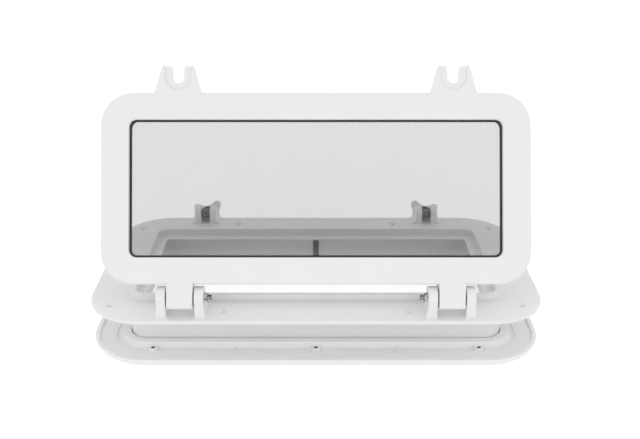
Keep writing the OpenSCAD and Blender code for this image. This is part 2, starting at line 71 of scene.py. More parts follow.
# Keeps a length above zero where it divides
TINY = 1e-9
# Points as near to each other as this become one, on a drawn skin and among the CAD's loose triangles
WELD = 1e-6
LOOSE_WELD = 2e-6
# The angle in degrees from which an edge stays sharp, on a drawn piece and on a moulding
DRAWN_SHARP = 38.0
MOULDED_SHARP = 50.0
TURN_STEPS = 64
# Moulded edges of a greater angle are rounded, and faces at a lesser angle are made one
HARD_ANGLE = math.radians(35.0)
FLAT_ANGLE = math.radians(0.6)
# A round has strayed where it lies more than this share of its width off the surface, and the edges
# within this many times that distance, and two widths more, are left sharp
STRAY_SHARE = 0.8
STRAY_REACH = 1.1
ROUND_TRIES = 4


class Side(Enum):
    """The two ends of the window, with the sign of their X."""

    LEFT = -1
    RIGHT = 1

    @property
    def word(self) -> str:
        """The side's word in the names of nodes, bodies and joints."""
        return self.name.lower()


class Slot(Enum):
    """The record's material slots."""

    WHITE_ABS = "white_abs"
    SMOKED_PANE = "smoked_pane"
    BLACK_RUBBER = "black_rubber"
    STAINLESS = "stainless"
    BRASS = "brass"


class Field:
    """A value that changes over a surface: a node socket that takes part in Python arithmetic."""

    def __init__(self, bench: "ShaderBench", socket: Socket) -> None:
        """Wraps a socket of the bench's node tree.

        Args:
            bench: The bench that adds nodes to the tree.
            socket: The output socket that carries the value.
        """
        self.bench = bench
        self.socket = socket

    def _math(self, operation: str, *values: "Field | float") -> "Field":
        """Adds a Math node.

        Args:
            operation: The node's operation.
            *values: The values or fields of its inputs, in order.

        Returns:
            The node's result.
        """
        return Field(self.bench, self.bench.node("ShaderNodeMath", {"operation": operation}, *values).outputs[0])

    def __add__(self, other: "Field | float") -> "Field":
        """self + other."""
        return self._math("ADD", self, other)

    __radd__ = __add__

    def __rsub__(self, other: "Field | float") -> "Field":
        """other - self."""
        return self._math("SUBTRACT", other, self)

    def __mul__(self, other: "Field | float") -> "Field":
        """self * other."""
        return self._math("MULTIPLY", self, other)

    __rmul__ = __mul__

    def __pow__(self, other: "Field | float") -> "Field":
        """self ** other."""
        return self._math("POWER", self, other)

    def at_most(self, limit: "Field | float") -> "Field":
        """The lower of the field and the limit."""
        return self._math("MINIMUM", self, limit)

    def ramp(self, low: float, high: float) -> "Field":
        """0 at low and below, 1 at high and above, and smooth between them."""
        made = self.bench.node("ShaderNodeMapRange", {"interpolation_type": "SMOOTHSTEP"}, self, low, high, 0.0, 1.0)
        return Field(self.bench, made.outputs[0])


class ShaderBench:
    """Adds nodes to the node tree of a material or of the world."""

    def __init__(self, tree: bpy.types.NodeTree) -> None:
        """Clears the tree.

        Args:
            tree: The node tree to fill.
        """
        self.tree = tree
        self.tree.nodes.clear()

    def node(self, kind: str, settings: dict[str, Any] | None = None, *values: Any, **named: Any) -> bpy.types.Node:
        """Adds one node.

        Args:
            kind: The node's type.
            settings: Its properties, set before its sockets.
            *values: Values or links of its first inputs, in order, where None leaves one alone.
            **named: Values or links of inputs by name, with _ for a space.

        Returns:
            The new node.
        """
        made = self.tree.nodes.new(kind)
        for key, value in (settings or {}).items():
            setattr(made, key, value)
        for socket, value in zip(made.inputs, values):
            self._feed(socket, value)
        for key, value in named.items():
            self._feed(made.inputs[key.replace("_", " ")], value)
        return made

    def _feed(self, socket: Socket, value: Any) -> None:
        """Gives an input socket its value or its link.

        Args:
            socket: The input socket.
            value: A plain value, a field, a socket, a node for its first output, or None to leave it alone.
        """
        source = value.socket if isinstance(value, Field) else value
        if isinstance(source, bpy.types.Node):
            source = source.outputs[0]
        if isinstance(source, Socket):
            self.tree.links.new(source, socket)
        elif source is not None:
            socket.default_value = source

    def place(self) -> Socket:
        """The place on the surface, in the piece's own coordinates."""
        return self.node("ShaderNodeTexCoord").outputs["Object"]

    def vector(self, operation: str, *values: Any) -> bpy.types.Node:
        """Adds a Vector Math node."""
        return self.node("ShaderNodeVectorMath", {"operation": operation}, *values)

    def noise(self, scale: float, detail: float, place: Socket | None = None) -> Field:
        """Soft random variation, from 0 to 1.

        Args:
            scale: Grains to a metre.
            detail: How many finer layers are added.
            place: Where the surface is, or None for its own coordinates.

        Returns:
            The variation.
        """
        vector = place or self.place()
        made = self.node("ShaderNodeTexNoise", {"noise_dimensions": "3D"}, Vector=vector, Scale=scale, Detail=detail)
        return Field(self, made.outputs[0])

    def blend(self, share: Field, low: Tone, high: Tone) -> Socket:
        """Mixes two colours or colour sockets.

        Args:
            share: How much of the second one shows, from 0 to 1.
            low: The first one.
            high: The second one.

        Returns:
            The mixed colour.
        """
        made = self.node("ShaderNodeMix", {"data_type": "RGBA"})
        self._feed(made.inputs[0], share)
        for socket, tone in ((made.inputs[6], low), (made.inputs[7], high)):
            self._feed(socket, tone if isinstance(tone, Socket) else (*tone, 1.0))
        return made.outputs[2]

    def bump(self, height: Field, depth: float, under: Socket | None = None) -> Socket:
        """Turns a height field into a normal.

        Args:
            height: The height, from 0 to 1.
            depth: What a height of 1 stands for, in metres.
            under: The normal that it is added to, or None for the surface's own.

        Returns:
            The normal.
        """
        made = self.node("ShaderNodeBump", None, Strength=1.0, Distance=depth, Height=height, Normal=under)
        return made.outputs[0]

    def finish(self, shader: bpy.types.Node, kind: str = "ShaderNodeOutputMaterial") -> None:
        """Sends a shader to the tree's output."""
        self.node(kind, None, shader)

    def surface(self, **named: Any) -> None:
        """Makes the material one Principled shader with these inputs."""
        self.finish(self.node("ShaderNodeBsdfPrincipled", None, **named))


class Finish:
    """A procedural material. Each finish is built once and shared by its pieces."""

    made: ClassVar[dict[str, bpy.types.Material]] = {}
    slot: ClassVar[Slot]

    def dress(self, bench: ShaderBench) -> None:
        """Fills the material's node tree."""
        raise NotImplementedError

    def material(self) -> bpy.types.Material:
        """The finish as a Blender material.

        Returns:
            The material, which the first call makes.
        """
        name = type(self).__name__
        if name not in Finish.made:
            made = bpy.data.materials.new(name)
            made.use_nodes = True
            self.dress(ShaderBench(made.node_tree))
            Finish.made[name] = made
        return Finish.made[name]


@dataclass(frozen=True)
class MouldedAbs(Finish):
    """White gloss ABS: a faint cloudiness in the plastic and the fine skin of a polished mould."""

    slot: ClassVar[Slot] = Slot.WHITE_ABS
    colour: Triple = (0.862, 0.862, 0.864)
    cloud: Triple = (0.848, 0.849, 0.852)
    cloud_scale: float = 14.0
    gloss_scale: float = 60.0
    cloud_ramp: Pair = (0.35, 0.7)
    ior: float = 1.52
    smoothest: float = 0.26
    gloss_range: float = 0.1
    skin_scale: float = 900.0
    skin_depth: float = 0.000012
    draw_scale: float = 22.0
    draw_depth: float = 0.00009

    def tone(self, bench: ShaderBench) -> Socket:
        """The plastic's colour, clouded."""
        return bench.blend(bench.noise(self.cloud_scale, 2.0).ramp(*self.cloud_ramp), self.colour, self.cloud)

    def dress(self, bench: ShaderBench) -> None:
        """Clouded white under a slightly uneven gloss, with mould skin and slow draw marks as bump.

        Args:
            bench: The bench that fills the material's node tree.
        """
        gloss = self.smoothest + self.gloss_range * bench.noise(self.gloss_scale, 4.0)
        slow = bench.bump(bench.noise(self.draw_scale, 1.0), self.draw_depth)
        skin = bench.bump(bench.noise(self.skin_scale, 2.0), self.skin_depth, slow)
        bench.surface(Base_Color=self.tone(bench), Roughness=gloss, IOR=self.ior, Normal=skin)


@dataclass(frozen=True)
class RingAbs(MouldedAbs):
    """The slightly duller ABS of the trim ring, which faces indoors, painted whiter than the frame's as light
    against the flange's shade, with painted shade in its pilot holes.
    """

    # Painted light: the ring's white is set above the frame's, to lighten the ring in the shade under the flange.
    colour: Triple = (0.945, 0.945, 0.945)
    cloud: Triple = (0.930, 0.931, 0.932)
    smoothest: float = 0.34
    holes: tuple[Pair, ...] = ((0.0, 0.0918), (0.1576, 0.0918))
    hole_r: float = 0.0018
    hole_fade: float = 0.0003
    # Painted shade: the colour inside the pilot holes, where the bores lie in shade.
    hole_tone: Triple = (0.13, 0.13, 0.13)

    def tone(self, bench: ShaderBench) -> Socket:
        """The clouded white, with painted shade that turns it dark within a pilot hole's radius of a hole's axis.

        Args:
            bench: The bench that fills the material's node tree.

        Returns:
            The colour.
        """
        folded = bench.vector("ABSOLUTE", bench.vector("MULTIPLY", bench.place(), (1.0, 1.0, 0.0)))
        near, far = (Field(bench, bench.vector("DISTANCE", folded, (x, y, 0.0)).outputs[1]) for x, y in self.holes)
        # Painted shade: the colour goes dark inside each pilot hole, where the bore lies in shade.
        inside = 1.0 - near.at_most(far).ramp(self.hole_r, self.hole_r + self.hole_fade)
        return bench.blend(inside, super().tone(bench), self.hole_tone)


@dataclass(frozen=True)
class SmokedAcrylic(Finish):
    """Lightly smoked clear acrylic: each face takes the same share of the light that passes."""

    slot: ClassVar[Slot] = Slot.SMOKED_PANE
    tint: Triple = (0.757, 0.758, 0.760)
    wave_scale: float = 5.0
    wave_depth: float = 0.0001
    polish: float = 0.03
    straight: float = 0.035
    grazing: float = 0.8
    falloff: float = 5.0

    def dress(self, bench: ShaderBench) -> None:
        """A clear tinted shader under a polished reflection that grows towards a grazing look.

        Args:
            bench: The bench that fills the material's node tree.
        """
        wave = bench.bump(bench.noise(self.wave_scale, 1.0), self.wave_depth)
        clear = bench.node("ShaderNodeBsdfTransparent", None, Color=(*self.tint, 1.0))
        shine = bench.node(
            "ShaderNodeBsdfPrincipled", None, Base_Color=WHITE, Metallic=1.0, Roughness=self.polish, Normal=wave,
        )
        facing = Field(bench, bench.node("ShaderNodeLayerWeight", None, Blend=0.5).outputs["Facing"])
        mirror = self.straight + (self.grazing - self.straight) * facing**self.falloff
        bench.finish(bench.node("ShaderNodeMixShader", None, mirror, clear, shine))


@dataclass(frozen=True)
class BlackRubber(Finish):
    """Black extruded rubber, with a fine dull grain and paler dust in places."""

    slot: ClassVar[Slot] = Slot.BLACK_RUBBER
    colour: Triple = (0.018, 0.018, 0.02)
    dusty: Triple = (0.034, 0.034, 0.036)
    dust_scale: float = 90.0
    dust_ramp: Pair = (0.45, 0.75)
    grain_scale: float = 2600.0
    grain_depth: float = 0.00003
    smoothest: float = 0.52
    gloss_range: float = 0.14

    def dress(self, bench: ShaderBench) -> None:
        """Two near blacks under a rough, slightly uneven skin.

        Args:
            bench: The bench that fills the material's node tree.
        """
        dust = bench.noise(self.dust_scale, 5.0).ramp(*self.dust_ramp)
        bench.surface(
            Base_Color=bench.blend(dust, self.colour, self.dusty),
            Roughness=self.smoothest + self.gloss_range * dust,
            Normal=bench.bump(bench.noise(self.grain_scale, 3.0), self.grain_depth),
        )


@dataclass(frozen=True)
class TurnedStainless(Finish):
    """Stainless steel with the fine rings that turning leaves around the X axis."""

    slot: ClassVar[Slot] = Slot.STAINLESS
    colour: Triple = (0.56, 0.563, 0.57)
    # The dark of the painted reflections in the clouding.
    dull: Triple = (0.12, 0.121, 0.125)
    cloud_scale: float = 240.0
    cloud_ramp: Pair = (0.38, 0.62)
    ring_scale: Triple = (9000.0, 250.0, 250.0)
    ring_depth: float = 0.00001
    smoothest: float = 0.16
    gloss_range: float = 0.14

    def dress(self, bench: ShaderBench) -> None:
        """Bright metal with close rings, and slow dark clouding that is a painted reflection.

        Args:
            bench: The bench that fills the material's node tree.
        """
        # Painted reflection: the strong dark clouding stands in for the dark reflections on polished steel.
        cloud = bench.noise(self.cloud_scale, 3.0).ramp(*self.cloud_ramp)
        rings = bench.noise(1.0, 2.0, bench.vector("MULTIPLY", bench.place(), self.ring_scale).outputs[0])
        bench.surface(
            Base_Color=bench.blend(cloud, self.colour, self.dull), Metallic=1.0,
            Roughness=self.smoothest + self.gloss_range * rings, Normal=bench.bump(rings, self.ring_depth),
        )


@dataclass(frozen=True)
class BoltSteel(Finish):
    """Stainless of the swing bolts, pins and washers, painted much darker than the hinges' as shade between the
    lock's lugs.
    """

    slot: ClassVar[Slot] = Slot.STAINLESS
    # Painted shade: far darker than real stainless, for the shade that the eye bolts sit in between the lugs.
    colour: Triple = (0.18, 0.182, 0.19)
    dull: Triple = (0.05, 0.0505, 0.053)
    smear_scale: float = 210.0
    smear_ramp: Pair = (0.3, 0.7)
    scratch_scale: float = 3200.0
    scratch_depth: float = 0.000008
    smoothest: float = 0.22
    gloss_range: float = 0.16

    def dress(self, bench: ShaderBench) -> None:
        """Two tones of grey metal in random smears, both painted dark as shade, with fine random scratches.

        Args:
            bench: The bench that fills the material's node tree.
        """
        smear = bench.noise(self.smear_scale, 4.0).ramp(*self.smear_ramp)
        bench.surface(
            Base_Color=bench.blend(smear, self.colour, self.dull), Metallic=1.0,
            Roughness=self.smoothest + self.gloss_range * smear,
            Normal=bench.bump(bench.noise(self.scratch_scale, 2.0), self.scratch_depth),
        )


@dataclass(frozen=True)
class TurnedBrass(Finish):
    """Machined brass, slightly dulled."""

    slot: ClassVar[Slot] = Slot.BRASS
    colour: Triple = (0.66, 0.46, 0.20)
    dull: Triple = (0.50, 0.34, 0.15)
    cloud_scale: float = 240.0
    smoothest: float = 0.24
    gloss_range: float = 0.16

    def dress(self, bench: ShaderBench) -> None:
        """Two tones of brass with turning marks.

        Args:
            bench: The bench that fills the material's node tree.
        """
        cloud = bench.noise(self.cloud_scale, 3.0)
        bench.surface(
            Base_Color=bench.blend(cloud, self.colour, self.dull), Metallic=1.0,
            Roughness=self.smoothest + self.gloss_range * cloud,
        )


def shown(name: str, data: bpy.types.ID) -> bpy.types.Object:
    """Makes an object of its data and puts it in the scene.

    Args:
        name: The object's name.
        data: Its mesh, camera or lamp.

    Returns:
        The new object.
    """
    made = bpy.data.objects.new(name, data)
    bpy.context.scene.collection.objects.link(made)
    return made


def shaded(name: str, mesh: bpy.types.Mesh, sharp: float) -> bpy.types.Object:
    """Makes an object of a mesh that is smooth but for its edges.

    Args:
        name: The object's name.
        mesh: Its mesh.
        sharp: The angle in degrees from which an edge stays sharp.

    Returns:
        The new object, at the origin.
    """
    mesh.shade_smooth()
    mesh.set_sharp_from_angle(angle=math.radians(sharp))
    return shown(name, mesh)


def joint_of(name: str) -> dict[str, Any]:
    """What the frame says of a joint."""
    return next(joint for joint in frame["joints"] if joint["name"] == name)


def joint_place(name: str) -> Matrix:
    """Where a joint lays what it carries: a piece drawn in its zero position goes to how it rests.

    Args:
        name: The joint's name, a hinge along X.

    Returns:
        The turn about the joint's axis and the move to its place.
    """
    joint = joint_of(name)
    angle = -math.copysign(math.radians(joint["range_deg"][1]), joint["axis"][0])
    return Matrix.Translation(Vector(joint["pos_m"])) @ Matrix.Rotation(angle, 4, "X")


def arc(middle: Sequence[float], radius: float, start: float, stop: float, steps: int = 6) -> np.ndarray:
    """Points along an arc: middle + radius * (cos a, sin a), with a from start to stop in degrees.

    Args:
        middle: The arc's centre.
        radius: Its radius.
        start: The first point's angle.
        stop: The last point's angle.
        steps: How many chords it has.

    Returns:
        The points, as rows of two.
    """
    angle = np.radians(np.linspace(start, stop, steps + 1))
    return np.asarray(middle) + radius * np.column_stack((np.cos(angle), np.sin(angle)))


def path(*parts: Sequence[float] | np.ndarray) -> np.ndarray:
    """Joins single points and runs of points into one profile."""
    return np.vstack([np.atleast_2d(np.asarray(part, dtype=float)) for part in parts])


@dataclass(frozen=True)
class Outline:
    """A rectangle with round corners: its sizes along X and Y, its radius and the Y of its centre."""

    width: float
    depth: float
    radius: float
    middle: float = 0.0
    steps: int = 12

    def points(self, offset: float = 0.0) -> np.ndarray:
        """The outline, moved outwards.

        Each corner is an arc about (+-(width / 2 - radius), middle +- (depth / 2 - radius)), and the
        straight sides are the steps from one corner to the next.

        Args:
            offset: How far outwards it is moved.

        Returns:
            The points, as rows of two.
        """
        radius = self.radius + offset
        run_x, run_y = (self.width + 2 * offset) / 2 - radius, (self.depth + 2 * offset) / 2 - radius
        corners = ((run_x, run_y, 0), (-run_x, run_y, 90), (-run_x, -run_y, 180), (run_x, -run_y, 270))
        return np.vstack([arc((x, self.middle + y), radius, turn, turn + 90, self.steps) for x, y, turn in corners])

    def rows(self, section: Sequence[Sequence[float]] | np.ndarray) -> list[tuple[np.ndarray, float]]:
        """The outline at each point (offset, height) of a section."""
        return [(self.points(offset), height) for offset, height in section]


def hexagon(angle: np.ndarray, corner: float) -> np.ndarray:
    """How far a hexagon's edge lies from its middle: apothem / cos of the angle from the nearest flat.

    Args:
        angle: The directions in radians, with a corner at 0.
        corner: The distance to its corners.

    Returns:
        The distance in each direction.
    """
    sixth = math.pi / 3
    return corner * math.cos(sixth / 2) / np.cos(np.mod(angle, sixth) - sixth / 2)


class Skin:
    """Grids of points that become the closed surface of one piece."""

    def __init__(self) -> None:
        """Starts with no points."""
        self.points: list[np.ndarray] = []
        self.faces: list[np.ndarray] = []
        self.count = 0

    def grid(self, points: np.ndarray, loop: bool) -> "Skin":
        """Adds a grid of points, whose last column joins the first.

        Args:
            points: The points, as rows by columns by three.
            loop: Whether the last row joins the first, too.

        Returns:
            The skin itself.
        """
        rows, columns = points.shape[:2]
        index = np.arange(rows * columns).reshape(rows, columns) + self.count
        index = np.concatenate((index, index[:1])) if loop else index
        index = np.concatenate((index, index[:, :1]), axis=1)
        quads = np.stack((index[:-1, :-1], index[:-1, 1:], index[1:, 1:], index[1:, :-1]), axis=-1)
        self.points.append(points.reshape(-1, 3))
        self.faces.append(quads.reshape(-1, 4))
        self.count += rows * columns
        return self

    def shaped(self, radius: np.ndarray, height: np.ndarray, loop: bool = False) -> "Skin":
        """Turns rows about Z, each with radii of its own: (r cos a, r sin a, z).

        Args:
            radius: The radii, as rows by columns.
            height: The height of each row.
            loop: Whether the last row joins the first, as on a washer.

        Returns:
            The skin itself.
        """
        angle = np.linspace(0.0, 2 * math.pi, radius.shape[1], endpoint=False)
        level = height[:, None] + 0.0 * angle
        return self.grid(np.stack((radius * np.cos(angle), radius * np.sin(angle), level), axis=-1), loop)

    def turned(self, profile: np.ndarray, loop: bool = False) -> "Skin":
        """Turns a profile about Z: (r cos a, r sin a, z) for each of its points (r, z)."""
        return self.shaped(np.repeat(profile[:, :1], TURN_STEPS, axis=1), profile[:, 1], loop)

    def lofted(self, rows: Sequence[tuple[np.ndarray, float]], loop: bool = True) -> "Skin":
        """Joins outlines of the same number of points, each at its own height.

        Args:
            rows: Each outline with its height.
            loop: Whether the last outline joins the first, as around a gasket.

        Returns:
            The skin itself.
        """
        layers = [np.column_stack((outline, np.full(len(outline), height))) for outline, height in rows]
        return self.grid(np.stack(layers), loop)

    def capped(self, rows: Sequence[tuple[np.ndarray, float]]) -> "Skin":
        """As lofted, with a flat face over the first outline and the last."""
        first, last = ((np.broadcast_to(line.mean(axis=0), line.shape), z) for line, z in (rows[0], rows[-1]))
        return self.lofted((first, *rows, last), loop=False)

    def thread(self, radius: float, depth: float, pitch: float, low: float, high: float) -> "Skin":
        """A threaded rod from low to high: r = radius - depth * the triangle wave of z / pitch - a / 2 pi.

        The wave fades out over the last pitch at both ends, and both ends are chamfered and closed.

        Args:
            radius: The radius over the crests.
            depth: The depth of the grooves.
            pitch: The distance from crest to crest.
            low: The height of its lower end.
            high: The height of its upper end.

        Returns:
            The skin itself.
        """
        columns, steps = 32, 8
        height = np.linspace(low, high, max(2, round((high - low) / pitch * steps)) + 1)
        angle = np.linspace(0.0, 1.0, columns, endpoint=False)
        wave = np.abs(2 * np.mod(height[:, None] / pitch - angle, 1.0) - 1)
        ends = np.minimum(height - low, high - height)
        groove = depth * wave * np.clip(ends / pitch, 0.0, 1.0)[:, None]
        chamfer = np.clip(depth - ends, 0.0, depth)[:, None]
        body = radius - np.maximum(groove, chamfer)
        closed = np.vstack((np.zeros((1, columns)), body, np.zeros((1, columns))))
        return self.shaped(closed, np.concatenate(([low], height, [high])))

    def along_x(self) -> "Skin":
        """Lays what was drawn along Z along X: (x, y, z) becomes (z, y, -x)."""
        self.points = [np.stack((p[:, 2], p[:, 1], -p[:, 0]), axis=-1) for p in self.points]
        return self

    def mirrored(self, side: Side) -> "Skin":
        """Turns the skin into its mirror image across X for the left side."""
        self.points = [p * np.array((side.value, 1.0, 1.0)) for p in self.points]
        return self

    def join(self, other: "Skin") -> "Skin":
        """Takes in the surfaces of another skin.

        Args:
            other: The other skin, which is left as it is.

        Returns:
            The skin itself.
        """
        self.faces += [faces + self.count for faces in other.faces]
        self.points += other.points
        self.count += other.count
        return self

    def piece(self, name: str, place: Matrix | None = None, sharp: float = DRAWN_SHARP) -> bpy.types.Object:
        """Makes the skin one object: doubles merged, normals outwards, and smooth but for its edges.

        Args:
            name: The object's name.
            place: Where the drawn shape goes, which is kept in the mesh.
            sharp: The angle in degrees from which an edge stays sharp.

        Returns:
            The new object, at the origin.
        """
        mesh = bpy.data.meshes.new(name)
        mesh.from_pydata(np.vstack(self.points).tolist(), [], np.vstack(self.faces).tolist())
        shell = bmesh.new()
        shell.from_mesh(mesh)
        bmesh.ops.remove_doubles(shell, verts=shell.verts, dist=WELD)
        bmesh.ops.recalc_face_normals(shell, faces=shell.faces)
        shell.to_mesh(mesh)
        shell.free()
        mesh.transform(place or Matrix.Identity(4))
        return shaded(name, mesh, sharp)


def merged(node: str, shape: Shaper) -> bmesh.types.BMesh:
    """A CAD node's loose triangles as one shell: corners that meet become one, flat neighbours one face.

    Args:
        node: The CAD node's name.
        shape: Moves the corners a little, where the real moulding is slimmer or fuller.

    Returns:
        The shell.
    """
    source = frame["nodes"][node].data
    points = np.empty(len(source.vertices) * 3, dtype=np.float32)
    source.vertices.foreach_get("co", points)
    corners = np.empty(len(source.loops), dtype=np.int32)
    source.loops.foreach_get("vertex_index", corners)
    loose = bpy.data.meshes.new("loose")
    loose.from_pydata(shape(points.reshape(-1, 3)).tolist(), [], corners.reshape(-1, 3).tolist())
    shell = bmesh.new()
    shell.from_mesh(loose)
    bpy.data.meshes.remove(loose)
    bmesh.ops.remove_doubles(shell, verts=shell.verts, dist=LOOSE_WELD)
    bmesh.ops.dissolve_degenerate(shell, edges=shell.edges, dist=WELD)
    bmesh.ops.dissolve_limit(shell, angle_limit=FLAT_ANGLE, verts=shell.verts, edges=shell.edges)
    return shell


def rounds(shell: bmesh.types.BMesh, edges: Sequence[bmesh.types.BMEdge], width: float) -> None:
    """Rounds edges of a shell, in two chords, with no limit where they crowd.

    Args:
        shell: The shell.
        edges: The edges to round.
        width: The width of the rounds.
    """
    bmesh.ops.bevel(
        shell, geom=list(edges), offset=width, offset_type="OFFSET", segments=2, profile=0.5,
        affect="EDGES", clamp_overlap=False,
    )


def strays(shell: bmesh.types.BMesh, edges: Sequence[int], width: float) -> list[tuple[Vector, float]]:
    """Tries the rounds on a copy, and finds the corners that they throw off the shell's surface.

    Args:
        shell: The shell, which is left as it is.
        edges: The numbers of the edges to round.
        width: The width of the rounds.

    Returns:
        Each stray corner, and how far off it lies.
    """
    surface = BVHTree.FromBMesh(shell)
    trial = shell.copy()
    trial.edges.ensure_lookup_table()
    rounds(trial, [trial.edges[number] for number in edges], width)
    off = [(corner.co.copy(), surface.find_nearest(corner.co)[3]) for corner in trial.verts]
    trial.free()
    return [(place, distance) for place, distance in off if distance > STRAY_SHARE * width]


def softened(node: str, name: str, width: float, shape: Shaper = np.array) -> bpy.types.Object:
    """A merged copy of a CAD node, whose hard edges are rounded as a mould leaves them.

    Every edge of more than HARD_ANGLE gets a small round, but for the few whose round would leave
    the surface. Large faces then keep their own normal up to that round.

    Args:
        node: The CAD node's name.
        name: The new object's name.
        width: The width of the rounds.
        shape: Moves the corners a little before they are rounded, or leaves them as drawn.

    Returns:
        The new object, at the origin.
    """
    shell = merged(node, shape)
    hard = [edge.index for edge in shell.edges if edge.is_manifold and edge.calc_face_angle() > HARD_ANGLE]
    for _ in range(ROUND_TRIES):
        wrong = strays(shell, hard, width)
        if not wrong:
            break
        shell.edges.ensure_lookup_table()
        hard = [
            number for number in hard
            if all((corner.co - place).length > STRAY_REACH * far + 2 * width
                   for corner in shell.edges[number].verts for place, far in wrong)
        ]
        log.info("%s: %d corners stray, %d edges are rounded", name, len(wrong), len(hard))
    shell.edges.ensure_lookup_table()
    rounds(shell, [shell.edges[number] for number in hard], width)
    mesh = bpy.data.meshes.new(name)
    shell.to_mesh(mesh)
    shell.free()
    made = shaded(name, mesh, MOULDED_SHARP)
    flat = made.modifiers.new("flat_faces", "WEIGHTED_NORMAL")
    flat.keep_sharp = True
    return made


class Assembly:
    """A sub-assembly, which dresses its pieces and hands them to their bodies."""

    def settle(self, piece: bpy.types.Object, body: str, finish: Finish, node: str | None = None) -> None:
        """Dresses a piece, fastens it to its body and lets it stand for its CAD node.

        Args:
            piece: The finished piece.
            body: The body that carries it.
            finish: Its finish.
            node: The CAD node that it replaces, or None for a detail that the CAD leaves out.
        """
        piece.data.materials.append(finish.material())
        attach(piece, body)
        if node:
            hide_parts(node)
        log.info("%s rides on %s: %d faces", piece.name, body, len(piece.data.polygons))


@dataclass
class MainFrame(Assembly):
    """The frame with its flange, spigot, lip, ears and lugs, the trim ring and the drain strip."""

    frame_edge: float = 0.0005
    ring_edge: float = 0.0004
    hinge_x: float = 0.1256
    hinge_y: float = -0.0988
    ear_out: float = 0.0219
    ear_slim: float = 0.4
    flange_top: float = 0.049
    foot_w: float = 0.006
    foot_half: float = 0.0116
    flange: Outline = Outline(0.438, 0.230, 0.0545)
    ring: Outline = Outline(0.439, 0.231, 0.057)
    rim_wall: float = 0.0024
    rim_root: float = 0.0016
    rim_taper: float = 0.0006
    rim_full: float = 0.0022
    step_out: float = -0.0042
    step_in: float = -0.0204
    step_h: float = 0.0039
    step_sunk: float = 0.0004
    tray: float = 0.0024
    strip_w: float = 0.0065
    strip_t: float = 0.0012
    rib_w: float = 0.002
    rib_h: float = 0.0008
    rib_round: float = 0.8
    strip_low: float = 0.002
    strip_high: float = 0.0435
    wall_y: float = 0.075
    plastic: Finish = MouldedAbs()
    white: Finish = RingAbs()
    rubber: Finish = BlackRubber()

    def slim_ears(self, points: np.ndarray) -> np.ndarray:
        """Draws in the spread feet of the hinge ears: past an ear's face, x = face + share * (x - face).

        Args:
            points: The frame's corners.

        Returns:
            The corners, moved.
        """
        made = points.copy()
        past = np.abs(made[:, 0]) - self.hinge_x
        spread = np.clip(np.abs(past) - self.ear_out, 0.0, self.foot_w)
        ear = (np.abs(made[:, 1] - self.hinge_y) < self.foot_half) & (made[:, 2] > self.flange_top - HAIR)
        ear &= np.abs(past) < self.ear_out + self.foot_w
        made[:, 0] -= np.where(ear, np.sign(made[:, 0]) * np.sign(past) * (1 - self.ear_slim) * spread, 0.0)
        return made

    def full_rim(self, points: np.ndarray) -> np.ndarray:
        """Moves the inner side of the ring's rim inwards, which makes the rim as full as a real one.

        A point's distance from the outline is that from the nearest corner's centre, less the radius.

        Args:
            points: The ring's corners.

        Returns:
            The corners, moved.
        """
        made = points.copy()
        radius = self.ring.radius
        run = np.array((self.ring.width / 2 - radius, self.ring.depth / 2 - radius))
        flat = made[:, :2]
        away = np.sign(flat) * np.maximum(np.abs(flat) - run, 0.0)
        length = np.maximum(np.linalg.norm(away, axis=1), TINY)
        off = length - radius
        rim = (off > -self.rim_wall - self.rim_root) & (off < -self.rim_wall + self.rim_taper)
        rim &= made[:, 2] > self.tray - HAIR
        made[:, :2] -= np.where(rim, self.rim_full / length, 0.0)[:, None] * away
        return made

    def mouldings(self) -> None:
        """Rounds the edges of the two white mouldings."""
        frame_piece = softened("main_frame", "frame_moulding", self.frame_edge, self.slim_ears)
        self.settle(frame_piece, "frame", self.plastic, "main_frame")
        ring_piece = softened("trim_ring", "ring_moulding", self.ring_edge, self.full_rim)
        self.settle(ring_piece, "frame", self.white, "trim_ring")

    def step(self) -> None:
        """Carries the raised part of the ring's tray around, from the rim to the step before the collar."""
        foot, soft = self.tray - self.step_sunk, 0.0004
        section = path(
            (self.step_in, foot), (self.step_out, foot), (self.step_out, self.step_h),
            arc((self.step_in + soft, self.step_h - soft), soft, 90, 180, 4),
        )
        self.settle(Skin().lofted(self.flange.rows(section)).piece("ring_step"), "frame", self.white)

    def strip(self) -> None:
        """Extrudes the rubber strip: a rounded band with a rounded rib, along Z."""
        half, rib, soft = self.strip_w / 2, self.rib_w / 2, 0.0004
        bulge = rib * self.rib_round
        outline = path(
            (half, 0.0),
            arc((half - soft, -self.strip_t + soft), soft, 0, -90, 3),
            (rib, -self.strip_t),
            arc((0.0, -self.strip_t - self.rib_h + bulge), bulge, -20, -160, 6),
            (-rib, -self.strip_t),
            arc((soft - half, -self.strip_t + soft), soft, -90, -180, 3),
            (-half, 0.0),
        ) + np.array((0.0, self.wall_y))
        strip = Skin().capped(((outline, self.strip_low), (outline, self.strip_high))).piece("drain_rubber")
        self.settle(strip, "frame", self.rubber, "drain_strip")

    def build(self) -> None:
        """Makes every piece."""
        self.mouldings()
        self.step()
        self.strip()


